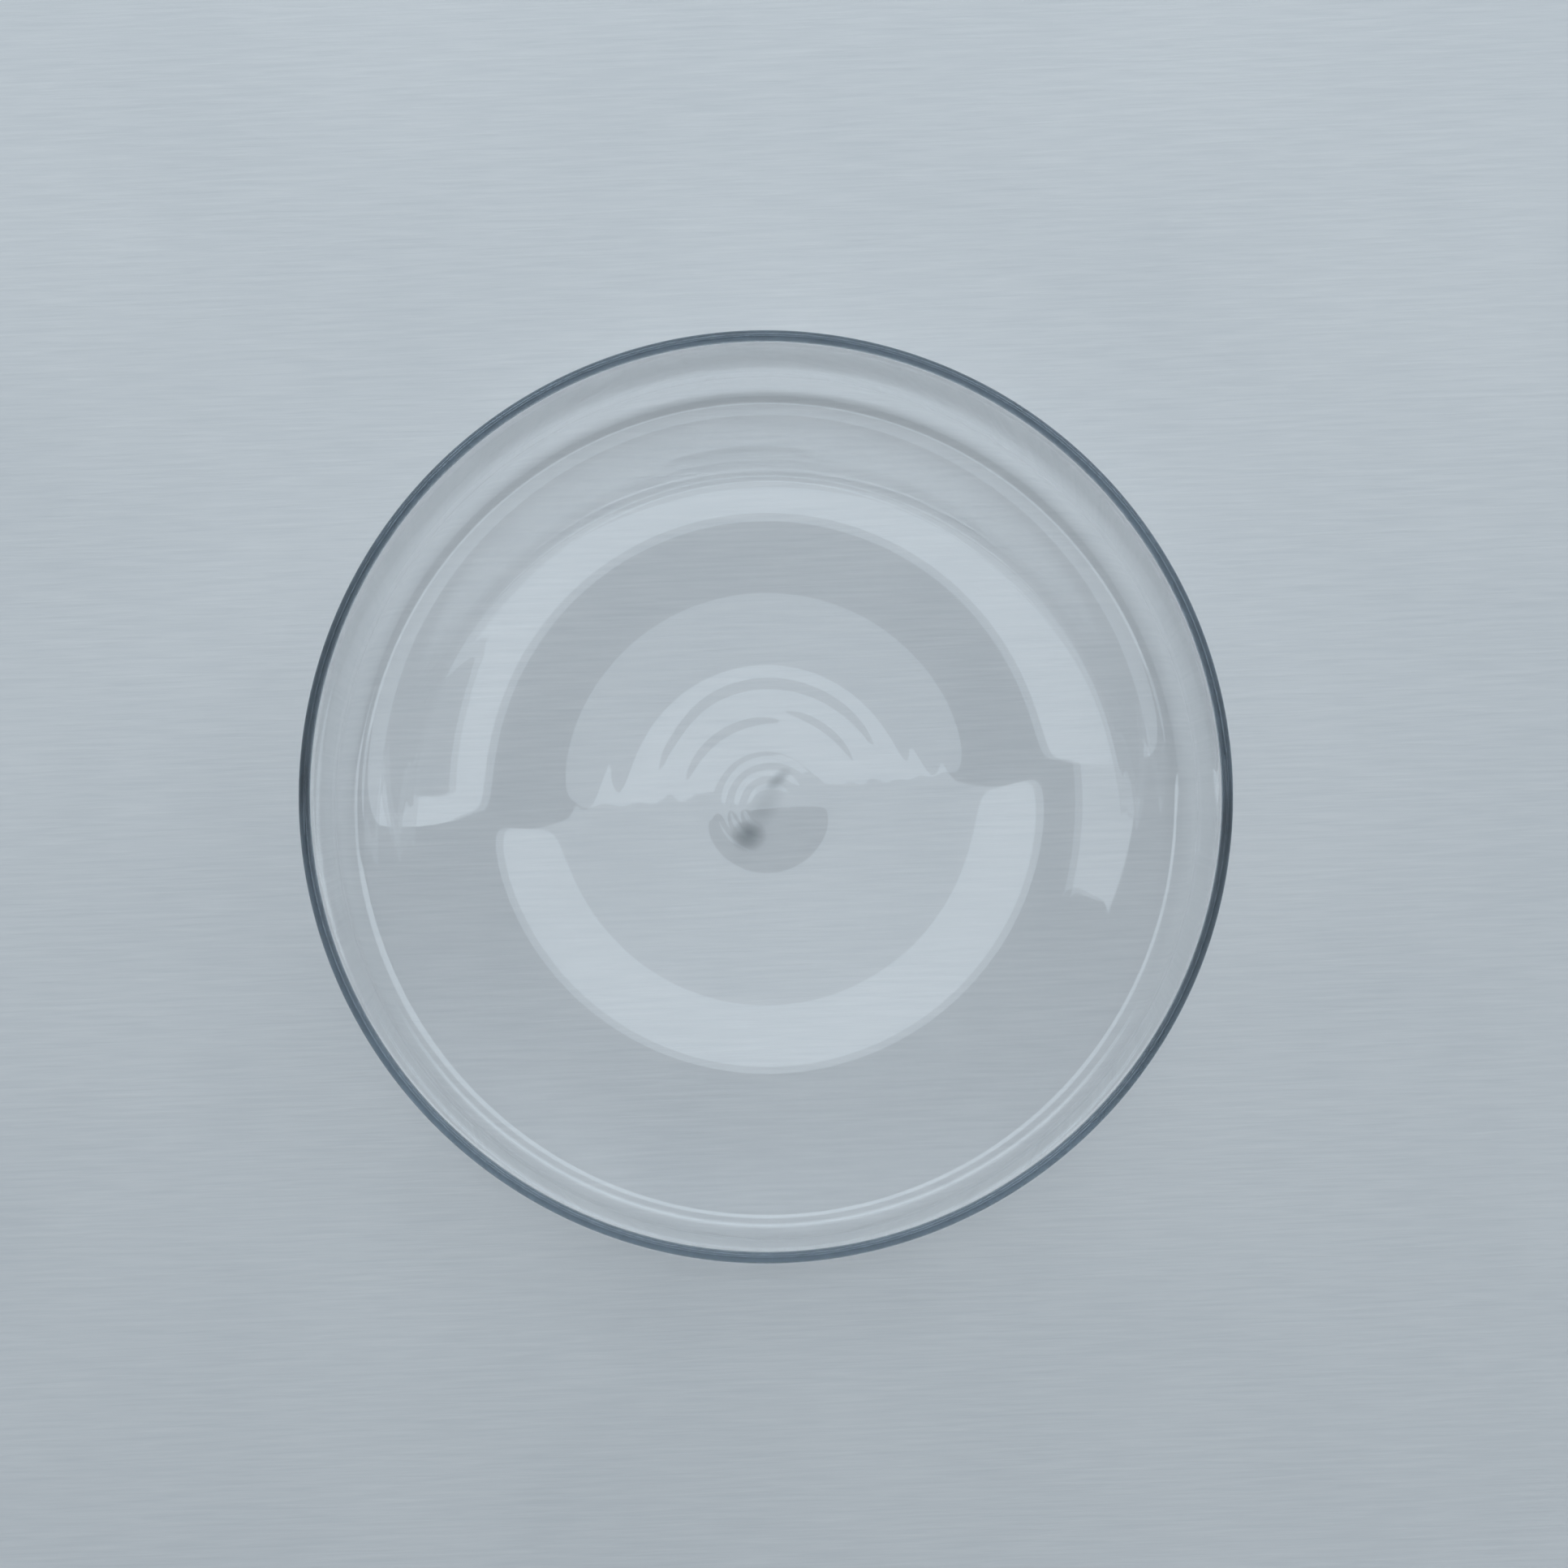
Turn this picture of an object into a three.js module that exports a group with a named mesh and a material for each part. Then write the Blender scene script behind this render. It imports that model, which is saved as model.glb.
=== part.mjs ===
// Crystallizing dish: a round, flat-bottomed, straight-sided laboratory vessel of blown borosilicate glass.
// It is one continuous piece of glass. The meshes are the zones that a glassworker names, meeting on shared
// faces: fire-polished rim, side wall, heel with its foot ring, base floor and centre seal.
// Millimetres, +Z up, origin at the centre of the circle that the dish stands on.
import * as THREE from "three";

// Driving sizes.
const outerDiameter = 190; // of the side wall
const height = 90;
const wallThickness = 2.1;

// Fire-polished rim: a rounded bead that stands out from the wall on both sides, with a narrow flat crest.
const rimSwell = 0.15; // on each side
const rimDepth = 3.6;
const crestFlat = 0.6;

// Heel: the rounded corner between the wall and the base, and the flat ring that it stands on.
const heelInnerRadius = 5;
const footWidth = 3;

// Base floor: a sheet of glass pushed up from below. Outwards from the seal it dips, rises and dips again.
const baseThickness = 2.4;
const crownRise = 1.5;
const dipRise = 0.7;
const ridgeRise = 1.3;
const ridgeInset = 21; // from the foot ring's inner edge to the top of the ridge
const dipInset = 41; // from the same edge to the bottom of the dip

// Centre seal: the lens of thicker glass where the vessel was closed.
const sealRadius = 11;
const sealBulge = 0.6;

// Facets.
const roundSegments = 72; // round the axis
const arcSteps = 6; // along each rounded corner
const floorSteps = 4; // along each slope of the base

// Sizes that follow from the ones above.
const outerRadius = outerDiameter / 2;
const innerRadius = outerRadius - wallThickness;
const rimBottom = height - rimDepth;
const heelOuterRadius = heelInnerRadius + wallThickness;
const heelTop = Math.max(heelOuterRadius, baseThickness + heelInnerRadius);
const footOuter = outerRadius - heelOuterRadius;
const footInner = footOuter - footWidth;
const dipRadius = footInner - dipInset;
const ridgeRadius = footInner - ridgeInset;

const glass = new THREE.MeshStandardMaterial({
  color: 0xc9d6da,
  roughness: 0.03,
  metalness: 0,
  transparent: true,
  opacity: 0.35,
});
const rimGlass = new THREE.MeshStandardMaterial({
  color: 0x7d8f99,
  roughness: 0.05,
  metalness: 0,
  transparent: true,
  opacity: 0.6,
});

// Points of a circular arc about (cx, cz), from one angle to another in degrees, both ends included.
function arc(cx, cz, radius, fromDegrees, toDegrees) {
  return Array.from({ length: arcSteps + 1 }, (_, i) => {
    const degrees = fromDegrees + ((toDegrees - fromDegrees) * i) / arcSteps;
    const angle = THREE.MathUtils.degToRad(degrees);
    return [cx + radius * Math.cos(angle), cz + radius * Math.sin(angle)];
  });
}

// The base's underside as [radius, height] points, outwards from the seal to the foot ring.
// Between two stations, where it turns level, the height follows half a cosine wave.
function undersideOfBase() {
  const stations = [
    [sealRadius, crownRise],
    [dipRadius, dipRise],
    [ridgeRadius, ridgeRise],
    [footInner, 0],
  ];
  const points = [stations[0]];
  for (let i = 1; i < stations.length; i++) {
    const [r0, z0] = stations[i - 1];
    const [r1, z1] = stations[i];
    for (let step = 1; step <= floorSteps; step++) {
      const share = step / floorSteps;
      const eased = (1 - Math.cos(Math.PI * share)) / 2;
      points.push([r0 + (r1 - r0) * share, z0 + (z1 - z0) * eased]);
    }
  }
  return points;
}

// A named solid of revolution about Z, from an outline of [radius, z] points listed anticlockwise.
// An outline that starts and ends on the axis is left open there, and any other is closed on itself.
function turned(name, outline, material) {
  const onAxis = outline[0][0] === 0;
  const closed = onAxis ? outline : [...outline, outline[0]];
  const points = closed.map(([r, z]) => new THREE.Vector2(r, z));
  const geometry = new THREE.LatheGeometry(points, roundSegments);
  geometry.rotateX(Math.PI / 2);
  const mesh = new THREE.Mesh(geometry, material);
  mesh.name = name;
  return mesh;
}

// The bead straddles the middle of the wall, and a quarter circle on each side leads to its flat crest.
function rimBead() {
  const middle = outerRadius - wallThickness / 2;
  const cornerRadius = (wallThickness + 2 * rimSwell - crestFlat) / 2;
  const crownZ = height - cornerRadius;
  return turned(
    "rim_bead",
    [
      [innerRadius, rimBottom],
      [outerRadius, rimBottom],
      ...arc(middle + crestFlat / 2, crownZ, cornerRadius, 0, 90),
      ...arc(middle - crestFlat / 2, crownZ, cornerRadius, 90, 180),
    ],
    rimGlass,
  );
}

function sideWall() {
  return turned(
    "side_wall",
    [
      [innerRadius, heelTop],
      [outerRadius, heelTop],
      [outerRadius, rimBottom],
      [innerRadius, rimBottom],
    ],
    glass,
  );
}

function heelRing() {
  const innerCentreZ = baseThickness + heelInnerRadius;
  const outline = [
    [footInner, 0],
    ...arc(footOuter, heelOuterRadius, heelOuterRadius, -90, 0),
  ];
  if (heelTop > heelOuterRadius) outline.push([outerRadius, heelTop]);
  if (heelTop > innerCentreZ) outline.push([innerRadius, heelTop]);
  outline.push(
    ...arc(innerRadius - heelInnerRadius, innerCentreZ, heelInnerRadius, 0, -90),
    [footInner, baseThickness],
  );
  return turned("heel_ring", outline, glass);
}

function baseFloor() {
  const underside = undersideOfBase();
  const topside = underside.map(([r, z]) => [r, z + baseThickness]);
  return turned("base_floor", [...underside, ...topside.reverse()], glass);
}

function centreSeal() {
  const top = crownRise + baseThickness;
  const bulge = Array.from({ length: arcSteps + 1 }, (_, i) => {
    const share = 1 - i / arcSteps;
    const lift = (sealBulge * (1 + Math.cos(Math.PI * share))) / 2;
    return [sealRadius * share, top + lift];
  });
  return turned(
    "centre_seal",
    [[0, crownRise], [sealRadius, crownRise], ...bulge],
    glass,
  );
}

const dish = new THREE.Group();
dish.name = "crystallizing_dish";
dish.add(rimBead(), sideWall(), heelRing(), baseFloor(), centreSeal());

export default dish;
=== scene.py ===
import math

import bpy
import numpy as np
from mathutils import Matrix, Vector


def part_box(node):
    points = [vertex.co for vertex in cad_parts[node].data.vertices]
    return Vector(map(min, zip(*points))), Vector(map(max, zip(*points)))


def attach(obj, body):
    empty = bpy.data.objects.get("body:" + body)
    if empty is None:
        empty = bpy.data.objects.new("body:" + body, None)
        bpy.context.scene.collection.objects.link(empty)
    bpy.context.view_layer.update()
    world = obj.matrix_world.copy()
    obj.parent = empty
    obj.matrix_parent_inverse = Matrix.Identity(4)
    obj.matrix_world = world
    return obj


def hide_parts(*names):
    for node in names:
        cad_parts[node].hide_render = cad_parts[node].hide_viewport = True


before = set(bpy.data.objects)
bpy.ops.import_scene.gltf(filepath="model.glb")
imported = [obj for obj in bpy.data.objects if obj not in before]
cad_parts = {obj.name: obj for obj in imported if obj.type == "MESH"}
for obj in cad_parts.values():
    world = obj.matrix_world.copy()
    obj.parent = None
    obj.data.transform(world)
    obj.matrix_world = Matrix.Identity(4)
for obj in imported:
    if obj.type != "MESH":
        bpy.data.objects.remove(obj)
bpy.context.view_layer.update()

mm = 0.001


def say(stage):
    print(f"[dish] {stage}")


def srgb(code, alpha=1.0):
    # each channel of the hex colour, taken out of its gamma: x / 12.92 near black, and
    # ((x + 0.055) / 1.055) ^ 2.4 above that
    channels = [int(code[i:i + 2], 16) / 255 for i in (1, 3, 5)]
    linear = [c / 12.92 if c <= 0.04045 else ((c + 0.055) / 1.055) ** 2.4 for c in channels]
    return (*linear, alpha)


def addNode(tree, kind, settings=None, inputs=None):
    # settings are the node's own properties; inputs, by name or by number, are values or the sockets
    # that feed them
    node = tree.nodes.new(kind)
    for name, value in (settings or {}).items():
        setattr(node, name, value)
    for name, value in (inputs or {}).items():
        socket = node.inputs[name]
        if isinstance(value, bpy.types.NodeSocket):
            tree.links.new(value, socket)
        else:
            socket.default_value = value
    return node


def newMaterial(name):
    material = bpy.data.materials.new(name)
    material.use_nodes = True
    material.node_tree.nodes.clear()
    return material, material.node_tree


def eased(stations, x):
    # between two stations the value runs along 3t^2 - 2t^3, so it is level at each station
    at, value = np.array(stations, float).T
    i = np.clip(np.searchsorted(at, x) - 1, 0, len(at) - 2)
    t = np.clip((x - at[i]) / (at[i + 1] - at[i]), 0, 1)
    return value[i] + (value[i + 1] - value[i]) * t * t * (3 - 2 * t)


# the camera looks down into the dish from a little in front of its middle
overheadCamera = {
    "position": (3.7, -41.8, 1473.0),  # mm from the middle of the foot ring
    "aim": (3.7, 5.1, 3.4),            # mm, straight ahead of the camera, so that +Y is up in the picture
    "lens": 156.1,                     # mm
    "sensor": 36.0,                    # mm
    "clip": (0.05, 20.0),              # metres, nearest and farthest that it sees
}


def makeCamera():
    camera = bpy.data.cameras.new("overheadCamera")
    camera.lens = overheadCamera["lens"]
    camera.sensor_width = overheadCamera["sensor"]
    camera.clip_start, camera.clip_end = overheadCamera["clip"]
    holder = bpy.data.objects.new("overheadCamera", camera)
    bpy.context.scene.collection.objects.link(holder)
    position = Vector(overheadCamera["position"]) * mm
    direction = Vector(overheadCamera["aim"]) * mm - position
    holder.location = position
    holder.rotation_mode = "QUATERNION"
    holder.rotation_quaternion = direction.to_track_quat("-Z", "Y")
    bpy.context.scene.camera = holder


say("camera")
makeCamera()


# the dish is one skin of glass, from the middle of the floor over the rim and back under
dish = {
    "around": 360,          # steps round the axis
    "floorSteps": 124,      # from the middle out to the heel, inside
    "underSteps": 72,       # from the middle out to the foot ring, underneath
    "heelSteps": 12,        # round each side of the heel
    "wallSteps": 6,         # up each side of the wall
    "rimSteps": 18,         # over the crest of the rim
    "swellSteps": 6,        # up each side of the rim, below the crest
    "fineSteps": 2000,      # points at which the floor's heights are worked out before they are meshed
    "heelRadius": 5.0,      # mm, inside corner between floor and wall
    "floorThickness": 2.4,  # mm, at the heel
    # blown glass is never quite true: (waves in one turn, share, start in radians)
    "wallWaves": [(2, 1.0, 0.6), (3, 0.5, -1.1), (5, 0.25, 2.0)],
    "wallWave": 0.05,       # mm, how far a wave of share 1 moves the wall in or out, at the rim
    "rimWaves": (3, 0.8),   # waves in one turn, start in radians
    "rimWave": 0.04,        # mm, how far the rim dips between its high places
}

# The floor is a very shallow saucer with slow rings in it. A ring is given by how much its slope differs from
# the saucer's: (radius in mm, slope). The underside's rings are the slopes that it seems to have through the
# glass. The lean is a slope towards +Y, and the drift is how far in mm a ring sits off centre towards +Y.
floorRings = {
    "saucer": 0.00053,      # slope gained for each mm of radius
    "inside": [(0, 0), (3, -0.05), (11, -0.05), (14.5, 0), (27, 0), (36, 0.015), (41, 0.015), (47, 0.034),
               (57, 0.034), (65, -0.05), (70, -0.11), (76, -0.108), (79, -0.094), (84, -0.066),
               (88, -0.047)],
    "under": [(0, 0), (9, -0.003), (20, -0.016), (32, -0.03), (40, -0.036), (49, 0.033), (56, 0.033),
              (63, -0.05), (69, -0.115), (76, -0.11), (79, -0.094), (84, -0.066), (85, -0.048)],
    "lean": [(0, -0.006), (26, -0.006), (52, 0)],
    "drift": [(0, 0), (20, 0), (44, 2.0), (62, 3.2), (76, 1.5), (88, 0)],
    "index": 1.47,          # refractive index of the glass above the underside
}

# Marks of the closing twist: spiral waves in the inside of the floor. Rise and spacing are in mm, and turns
# is how tightly the spiral winds. The zone is where a wave starts, is full from and to, and has faded out, in
# mm from the middle. Towards is the side where it is strongest, in degrees, and narrow is 0 for a wave that
# runs all the way round.
twistMarks = [
    {"rise": 0.045, "spacing": 2.9, "turns": 1.5, "zone": (3, 5, 9, 13), "towards": 155, "narrow": 1.6},
    {"rise": 0.012, "spacing": 7.0, "turns": 1.0, "zone": (13, 20, 40, 46), "towards": 140, "narrow": 1.4},
    {"rise": 0.007, "spacing": 5.2, "turns": -1.0, "zone": (16, 22, 40, 46), "towards": 45, "narrow": 1.4},
]


def radialReach(node):
    # smallest and largest distance of a CAD node's points from the axis, in mm
    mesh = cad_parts[node].data
    points = np.empty(len(mesh.vertices) * 3)
    mesh.vertices.foreach_get("co", points)
    radii = np.hypot(*points.reshape(-1, 3)[:, :2].T) / mm
    return radii.min(), radii.max()


def heightFromSlope(radius, slope, levelAt):
    # running sum of slope x step, taken to zero at the radius levelAt
    height = np.concatenate([[0], np.cumsum((slope[1:] + slope[:-1]) / 2 * np.diff(radius))])
    return height - np.interp(levelAt, radius, height)


def floorHeights(heelStart, footInner):
    # saucer slope grows evenly with radius; inside = saucer + rings; the underside's true slope is
    # (seen slope + (index - 1) x inside slope) / index, from the law of refraction for small angles
    radius = np.linspace(0, heelStart, dish["fineSteps"])
    saucer = floorRings["saucer"] * radius
    inside = saucer + eased(floorRings["inside"], radius)
    seen = saucer + eased(floorRings["under"], radius)
    index = floorRings["index"]
    under = (seen + (index - 1) * inside) / index
    insideHeight = dish["floorThickness"] + heightFromSlope(radius, inside, heelStart)
    return radius, insideHeight, heightFromSlope(radius, under, footInner)


def twistHeight(radius, angle):
    # each mark is rise x sine of (2 pi x radius / spacing + turns x angle), eased in and out along the
    # radius, and times ((1 + cosine of the angle from its strongest side) / 2) ^ narrow
    height = np.zeros(np.broadcast(radius, angle).shape)
    for mark in twistMarks:
        wave = np.sin(2 * math.pi * radius / mark["spacing"] + mark["turns"] * angle)
        inner, fullFrom, fullTo, outer = mark["zone"]
        zone = eased([(0, 0), (inner, 0), (fullFrom, 1), (fullTo, 1), (outer, 0)], radius)
        side = ((1 + np.cos(angle - math.radians(mark["towards"]))) / 2) ** mark["narrow"]
        height = height + mark["rise"] * wave * zone * side
    return height


def unmarked(radius, angle):
    # the underside has no twist marks, so this height is 0 everywhere
    return 0 * radius


def floorRows(steps, outermost, angle, heightAt, leanShare, marks):
    # ring centres drift off the axis: the height is read at radius - drift x sine of the angle, and the lean
    # adds share x lean x radius x sine of the angle
    radius = np.linspace(0, outermost, steps + 1)[1:, None]
    readAt = radius - eased(floorRings["drift"], radius) * np.sin(angle)
    lean = leanShare * eased(floorRings["lean"], radius) * radius * np.sin(angle)
    return radius + 0 * angle, heightAt(readAt) + lean + marks(radius, angle)


def arcRows(steps, centreR, centreZ, radius, start, end):
    # centre + radius x (cosine, sine), without its first point
    turn = np.radians(np.linspace(start, end, steps + 1)[1:, None])
    return centreR + radius * np.cos(turn), centreZ + radius * np.sin(turn)


def wallRows(steps, radius, start, end):
    # a straight line up or down, without its first point
    z = np.linspace(start, end, steps + 1)[1:, None]
    return radius + 0 * z, z


def rimRows(innerWall, outerWall, beadOuter, rimBottom, top):
    # a half circle over the crest; below it the half thickness eases from the wall's to the bead's
    middle = (innerWall + outerWall) / 2
    bead = beadOuter - middle
    crown = top - bead
    swell = np.linspace(rimBottom, crown, dish["swellSteps"] + 1)[1:]
    half = eased([(rimBottom, (outerWall - innerWall) / 2), (crown, bead)], swell)
    turn = np.linspace(0, math.pi, dish["rimSteps"] + 1)[1:-1]
    r = np.concatenate([middle - half, middle - bead * np.cos(turn), (middle + half)[::-1]])
    z = np.concatenate([swell, crown + bead * np.sin(turn), swell[::-1]])
    return r[:, None], z[:, None]


def glassSkin():
    # rows of points: r and z for each step of the profile (down) and each step round the axis (across)
    innerWall, outerWall = radialReach("side_wall")
    beadOuter = radialReach("rim_bead")[1]
    footInner = radialReach("heel_ring")[0]
    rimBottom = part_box("rim_bead")[0].z / mm
    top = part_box("rim_bead")[1].z / mm
    heelInside = dish["heelRadius"]
    heelOutside = heelInside + outerWall - innerWall
    heelStart = innerWall - heelInside
    heelTop = dish["floorThickness"] + heelInside
    angle = np.linspace(0, 2 * math.pi, dish["around"], endpoint=False)[None, :]
    fine, insideHeight, underHeight = floorHeights(heelStart, footInner)

    def insideAt(radius):
        return np.interp(radius, fine, insideHeight)

    def underAt(radius):
        return np.interp(radius, fine, underHeight)

    # the underside leans by (index - 1) / index as much, so that through the glass it seems not to lean
    underShare = 1 - 1 / floorRings["index"]
    underR, underZ = floorRows(dish["underSteps"], footInner, angle, underAt, underShare, unmarked)
    rows = [
        floorRows(dish["floorSteps"], heelStart, angle, insideAt, 1.0, twistHeight),
        arcRows(dish["heelSteps"], heelStart, heelTop, heelInside, -90, 0),
        wallRows(dish["wallSteps"], innerWall, heelTop, rimBottom),
        rimRows(innerWall, outerWall, beadOuter, rimBottom, top),
        wallRows(dish["wallSteps"], outerWall, rimBottom, heelOutside),
        arcRows(dish["heelSteps"], heelStart, heelOutside, heelOutside, 0, -90),
        (underR[::-1], underZ[::-1]),
    ]
    r = np.concatenate([row[0] + 0 * angle for row in rows])
    z = np.concatenate([row[1] + 0 * angle for row in rows])

    # the radius gains wallWave x the sum of share x cosine of (waves x angle + start), growing evenly from
    # the heel to the rim, and the rim's height loses rimWave x (1 - cosine of (waves x angle + start)) / 2
    rise = np.clip((z - heelOutside) / (top - heelOutside), 0, 1)
    wave = sum(share * np.cos(waves * angle + start) for waves, share, start in dish["wallWaves"])
    r = r + dish["wallWave"] * wave * rise
    crest = np.clip((z - rimBottom) / (top - rimBottom), 0, 1)
    waves, start = dish["rimWaves"]
    z = z - dish["rimWave"] * crest * (1 - np.cos(waves * angle + start)) / 2
    return r, z, angle, insideAt(0), underAt(0)


def makeDish():
    # the rows become a closed skin of four-sided faces, with a fan of triangles at the middle of each side
    r, z, angle, middleTop, middleUnder = glassSkin()
    rowCount, around = r.shape
    grid = np.stack([r * np.cos(angle), r * np.sin(angle), z], -1).reshape(-1, 3)
    points = np.concatenate([grid, [[0, 0, middleTop], [0, 0, middleUnder]]]) * mm
    ring = np.arange(around)
    nextRing = (ring + 1) % around
    rowStart = np.arange(rowCount - 1)[:, None] * around
    here = rowStart + ring
    after = rowStart + nextRing
    quads = np.stack([here, here + around, after + around, after], -1).reshape(-1, 4)
    last = (rowCount - 1) * around
    startFan = np.stack([np.full(around, len(grid)), ring, nextRing], -1)
    endFan = np.stack([np.full(around, len(grid) + 1), last + nextRing, last + ring], -1)
    mesh = bpy.data.meshes.new("blown_dish")
    mesh.from_pydata(points.tolist(), [], quads.tolist() + startFan.tolist() + endFan.tolist())
    mesh.polygons.foreach_set("use_smooth", np.ones(len(mesh.polygons), bool))
    mesh.validate()
    piece = bpy.data.objects.new("blown_dish", mesh)
    bpy.context.scene.collection.objects.link(piece)
    return piece


glass = {
    "clear": "#FFFFFF",
    "index": 1.473,
    "depthTint": "#BFCAD2",  # what light turns to on a long way through the glass
    "depthDensity": 9.5,     # per metre
    "sealShade": "#5F6A70",      # painted shade where the base was closed, standing in for the dark that the seal's thick glass shows
    # painted shade over the closing seal: place and reach in mm, turn in degrees, and depth is how dark each
    # patch of painted shade gets; the middle of each lies a little above the floor's inside face, so that its
    # edge is soft
    "sealShadePatches": [
        {"place": (-4.3, -6.2, 2.7), "reach": (5.0, 4.4, 1.2), "turn": 0, "depth": 1.3},
        {"place": (-0.4, 0.6, 2.7), "reach": (9.5, 3.8, 1.2), "turn": 60, "depth": 0.35},
        {"place": (2.8, 6.6, 2.7), "reach": (4.4, 2.0, 1.2), "turn": 38, "depth": 1.0},
    ],
}


def paintedSealShade(tree, coordinates):
    # each patch of painted shade is depth x (1 - distance / reach) from its middle, and never below 0; the
    # patches are added up
    total = 0.0
    for shadePatch in glass["sealShadePatches"]:
        place = addNode(tree, "ShaderNodeMapping", {"vector_type": "TEXTURE"}, {
            "Vector": coordinates,
            "Location": [value * mm for value in shadePatch["place"]],
            "Rotation": (0, 0, math.radians(shadePatch["turn"])),
            "Scale": [value * mm for value in shadePatch["reach"]],
        })
        fall = addNode(tree, "ShaderNodeTexGradient", {"gradient_type": "SPHERICAL"}, {
            "Vector": place.outputs["Vector"],
        })
        added = addNode(tree, "ShaderNodeMath", {"operation": "MULTIPLY_ADD"}, {
            0: fall.outputs["Fac"],
            1: shadePatch["depth"],
            2: total,
        })
        total = added.outputs["Value"]
    return total


def borosilicateGlass():
    # borosilicate glass, blown and fire-polished: clear, with sharp reflections, blue-grey where one looks
    # along it, and soft painted shade in its colour where the middle of the base was closed, standing in for
    # the dark that the seal's thick glass shows
    material, tree = newMaterial("borosilicateGlass")
    coordinates = addNode(tree, "ShaderNodeTexCoord").outputs["Object"]
    # the glass's colour mixes from clear towards painted shade over the closing seal
    colour = addNode(tree, "ShaderNodeMix", {"data_type": "RGBA", "clamp_factor": True}, {
        "Factor": paintedSealShade(tree, coordinates),
        6: srgb(glass["clear"]),
        7: srgb(glass["sealShade"]),
    })
    shader = addNode(tree, "ShaderNodeBsdfPrincipled", inputs={
        "Base Color": colour.outputs[2],
        "Roughness": 0.0,
        "IOR": glass["index"],
        "Transmission Weight": 1.0,
    })
    depth = addNode(tree, "ShaderNodeVolumeAbsorption", inputs={
        "Color": srgb(glass["depthTint"]),
        "Density": glass["depthDensity"],
    })
    addNode(tree, "ShaderNodeOutputMaterial", inputs={
        "Surface": shader.outputs["BSDF"],
        "Volume": depth.outputs["Volume"],
    })
    return material


say("blown dish")
dishPiece = makeDish()
dishPiece.data.materials.append(borosilicateGlass())
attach(dishPiece, "root")
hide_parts("rim_bead", "side_wall", "heel_ring", "base_floor", "centre_seal")


floorBoard = {
    "size": 8.0,            # metres
    "drop": 0.1,            # mm below the foot ring, so that no two faces coincide
    "paint": "#DADADB",
    "paintShade": "#CFD0D2",
    "stroke": (16.0, 0.8),  # mm, a brush mark's length and width, coarser than a bristle's so that it shows
    "strokeTurn": 2.0,      # degrees
    "strokeDepth": 0.05,    # mm
    "patch": 70.0,          # mm, size of the slow changes in tone
    "patchShare": 0.4,      # of the tone, and the brush marks have the rest
    "toneRange": (0.32, 0.68),  # of the noise, darkest and palest
}


def brushedPaint():
    # matt emulsion paint on a board, put on with a wide brush: pale, hardly any gloss, fine parallel marks
    material, tree = newMaterial("brushedPaint")
    coordinates = addNode(tree, "ShaderNodeTexCoord").outputs["Object"]
    length, width = floorBoard["stroke"]
    stretched = addNode(tree, "ShaderNodeMapping", {"vector_type": "TEXTURE"}, {
        "Vector": coordinates,
        "Rotation": (0, 0, math.radians(floorBoard["strokeTurn"])),
        "Scale": (length * mm, width * mm, mm),
    })
    strokes = addNode(tree, "ShaderNodeTexNoise", inputs={
        "Vector": stretched.outputs["Vector"],
        "Scale": 1.0,
        "Detail": 3.0,
        "Distortion": 0.3,
    })
    patches = addNode(tree, "ShaderNodeTexNoise", inputs={
        "Vector": coordinates,
        "Scale": 1 / (floorBoard["patch"] * mm),
        "Detail": 2.0,
    })
    # tone = share x patches + (1 - share) x strokes, stretched so that the range fills 0 to 1
    patchTone = addNode(tree, "ShaderNodeMath", {"operation": "MULTIPLY"}, {
        0: patches.outputs["Fac"],
        1: floorBoard["patchShare"],
    })
    tone = addNode(tree, "ShaderNodeMath", {"operation": "MULTIPLY_ADD"}, {
        0: strokes.outputs["Fac"],
        1: 1 - floorBoard["patchShare"],
        2: patchTone.outputs["Value"],
    })
    steeper = addNode(tree, "ShaderNodeMapRange", inputs={
        "Value": tone.outputs["Value"],
        "From Min": floorBoard["toneRange"][0],
        "From Max": floorBoard["toneRange"][1],
    })
    colour = addNode(tree, "ShaderNodeMix", {"data_type": "RGBA"}, {
        "Factor": steeper.outputs["Result"],
        6: srgb(floorBoard["paintShade"]),
        7: srgb(floorBoard["paint"]),
    })
    relief = addNode(tree, "ShaderNodeBump", inputs={
        "Height": strokes.outputs["Fac"],
        "Strength": 1.0,
        "Distance": floorBoard["strokeDepth"] * mm,
    })
    shader = addNode(tree, "ShaderNodeBsdfPrincipled", inputs={
        "Base Color": colour.outputs[2],
        "Roughness": 0.75,
        "Specular IOR Level": 0.2,
        "Normal": relief.outputs["Normal"],
    })
    addNode(tree, "ShaderNodeOutputMaterial", inputs={"Surface": shader.outputs["BSDF"]})
    return material


def makeFloor():
    half = floorBoard["size"] / 2
    z = -floorBoard["drop"] * mm
    corners = [(-half, -half, z), (half, -half, z), (half, half, z), (-half, half, z)]
    mesh = bpy.data.meshes.new("floor_board")
    mesh.from_pydata(corners, [], [(0, 1, 2, 3)])
    floor = bpy.data.objects.new("floor_board", mesh)
    bpy.context.scene.collection.objects.link(floor)
    mesh.materials.append(brushedPaint())
    return floor


say("floor")
makeFloor()


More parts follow.
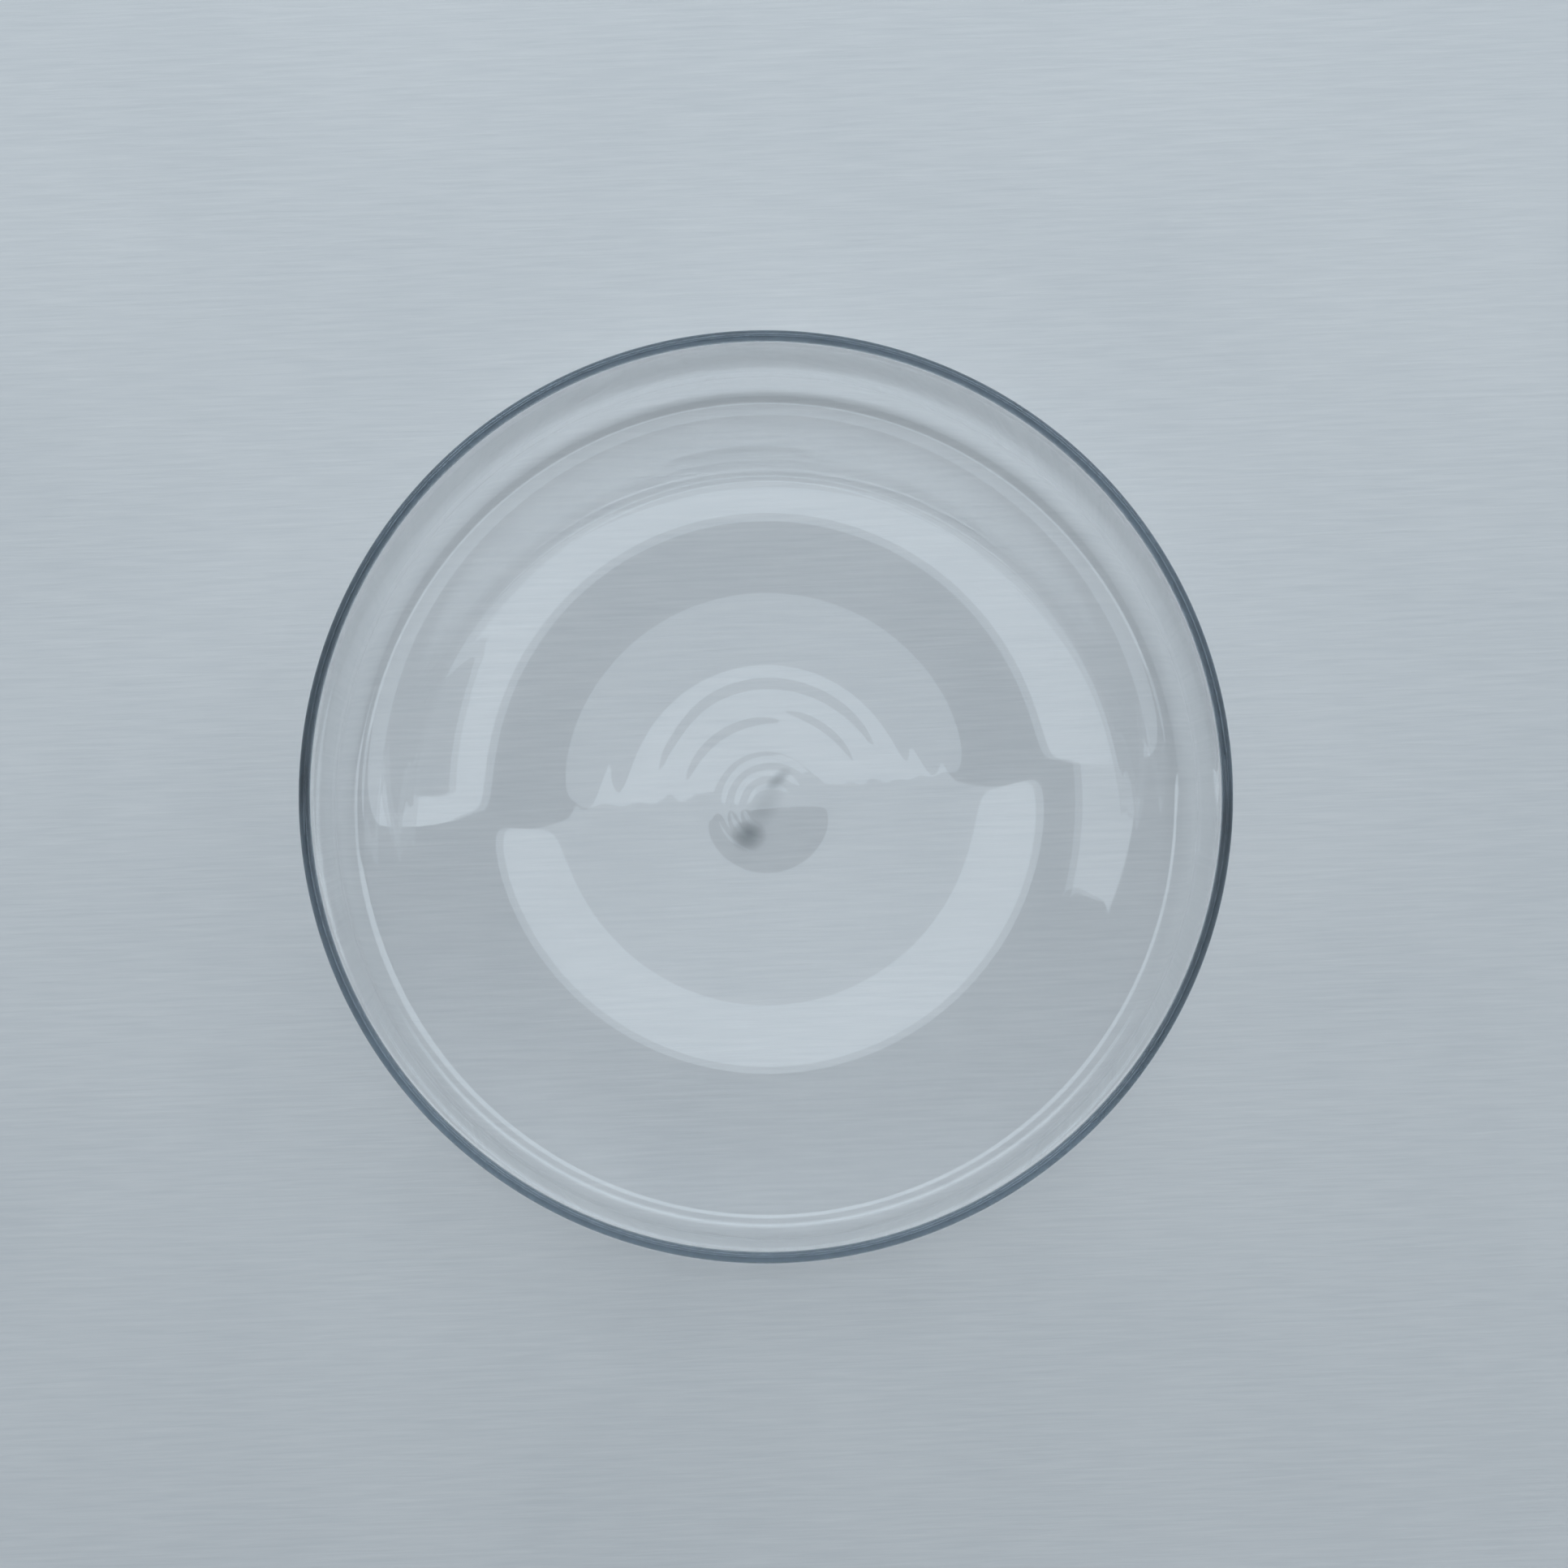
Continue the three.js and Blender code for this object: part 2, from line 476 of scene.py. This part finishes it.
# The light is a pale room all round, bright panels in the ceiling, and a dark cloth beside them. Seen from
# above, the floor of the dish mirrors one small part of the ceiling, close to the pivot. The panels run on
# from there behind the dish and the cloth in front of it, so every slope of the glass shows. One panel, at
# the right, comes forward of the pivot too.
ceiling = {
    "height": 2.6,           # metres, as the other sizes here
    "pivot": (-0.0065, 0.089),
    "turn": 5.2,             # degrees, panels and cloth together about the pivot
    "daylight": "#EBF7FF",
    "roomStrength": 0.57,    # radiance of the room
    # each panel, and the cloth, as x from, x to, y from and y to in metres from the pivot
    "panels": [(-0.52, 1.2, 0.0, 0.57), (-1.1, -0.52, 0.0, 0.05), (0.48, 1.2, -0.22, 0.0)],
    "radiance": 1.7,         # of the panels, on top of the room's
    "cloth": (-1.3, 1.3, -1.3, 0.0),
    "clothColour": "#101214",
    "clothLift": 0.02,       # metres above the panels
}

# a wide soft light behind the dish, hung lower than the ceiling panels, makes the board brighter on that side
backLight = {
    "middle": (0.0, 0.9, 0.75),  # metres, as its size
    "size": (2.2, 0.6),
    "radiance": 2.3,
}


def ceilingPlace(x, y, lift=0.0):
    # the point (x, y) turned about the pivot, at the ceiling's height
    turn = math.radians(ceiling["turn"])
    return (
        ceiling["pivot"][0] + x * math.cos(turn) - y * math.sin(turn),
        ceiling["pivot"][1] + x * math.sin(turn) + y * math.cos(turn),
        ceiling["height"] + lift,
    )


def addAreaLight(name, middle, size, radiance, turn=0.0):
    light = bpy.data.lights.new(name, "AREA")
    light.shape = "RECTANGLE"
    light.size, light.size_y = size
    light.energy = radiance * math.pi * size[0] * size[1]  # radiance = power / (pi x area)
    light.color = srgb(ceiling["daylight"])[:3]
    holder = bpy.data.objects.new(name, light)
    bpy.context.scene.collection.objects.link(holder)
    holder.location = middle
    holder.rotation_euler = (0, 0, math.radians(turn))


def makePanels():
    for count, (x0, x1, y0, y1) in enumerate(ceiling["panels"]):
        middle = ceilingPlace((x0 + x1) / 2, (y0 + y1) / 2)
        size = (x1 - x0, y1 - y0)
        addAreaLight(f"ceilingPanel{count}", middle, size, ceiling["radiance"], ceiling["turn"])


def blackCloth():
    # dull black cotton over a frame: it gives the glass something dark to mirror
    material, tree = newMaterial("blackCloth")
    shader = addNode(tree, "ShaderNodeBsdfPrincipled", inputs={
        "Base Color": srgb(ceiling["clothColour"]),
        "Roughness": 0.9,
        "Specular IOR Level": 0.0,
    })
    addNode(tree, "ShaderNodeOutputMaterial", inputs={"Surface": shader.outputs["BSDF"]})
    return material


def makeCloth():
    x0, x1, y0, y1 = ceiling["cloth"]
    outline = [(x0, y0), (x0, y1), (x1, y1), (x1, y0)]
    corners = [ceilingPlace(x, y, ceiling["clothLift"]) for x, y in outline]
    mesh = bpy.data.meshes.new("dark_cloth")
    mesh.from_pydata(corners, [], [(0, 1, 2, 3)])
    mesh.materials.append(blackCloth())
    cloth = bpy.data.objects.new("dark_cloth", mesh)
    bpy.context.scene.collection.objects.link(cloth)
    return cloth


def makeRoom():
    world = bpy.data.worlds.new("paleRoom")
    world.use_nodes = True
    world.node_tree.nodes.clear()
    background = addNode(world.node_tree, "ShaderNodeBackground", inputs={
        "Color": srgb(ceiling["daylight"]),
        "Strength": ceiling["roomStrength"],
    })
    addNode(world.node_tree, "ShaderNodeOutputWorld", inputs={"Surface": background.outputs["Background"]})
    bpy.context.scene.world = world


say("light")
makePanels()
addAreaLight("backLight", backLight["middle"], backLight["size"], backLight["radiance"])
makeCloth()
makeRoom()

lightPaths = {
    "glass": 128,  # light runs down inside the thin wall in many short steps
    "diffuse": 6,
    "blur": 0.0,   # clear glass stays clear for the light that reaches the floor through it
}
scene = bpy.context.scene
scene.view_settings.view_transform = "Standard"
scene.cycles.max_bounces = lightPaths["glass"]
scene.cycles.transmission_bounces = lightPaths["glass"]
scene.cycles.glossy_bounces = lightPaths["glass"]
scene.cycles.diffuse_bounces = lightPaths["diffuse"]
scene.cycles.blur_glossy = lightPaths["blur"]

say("size and finish")
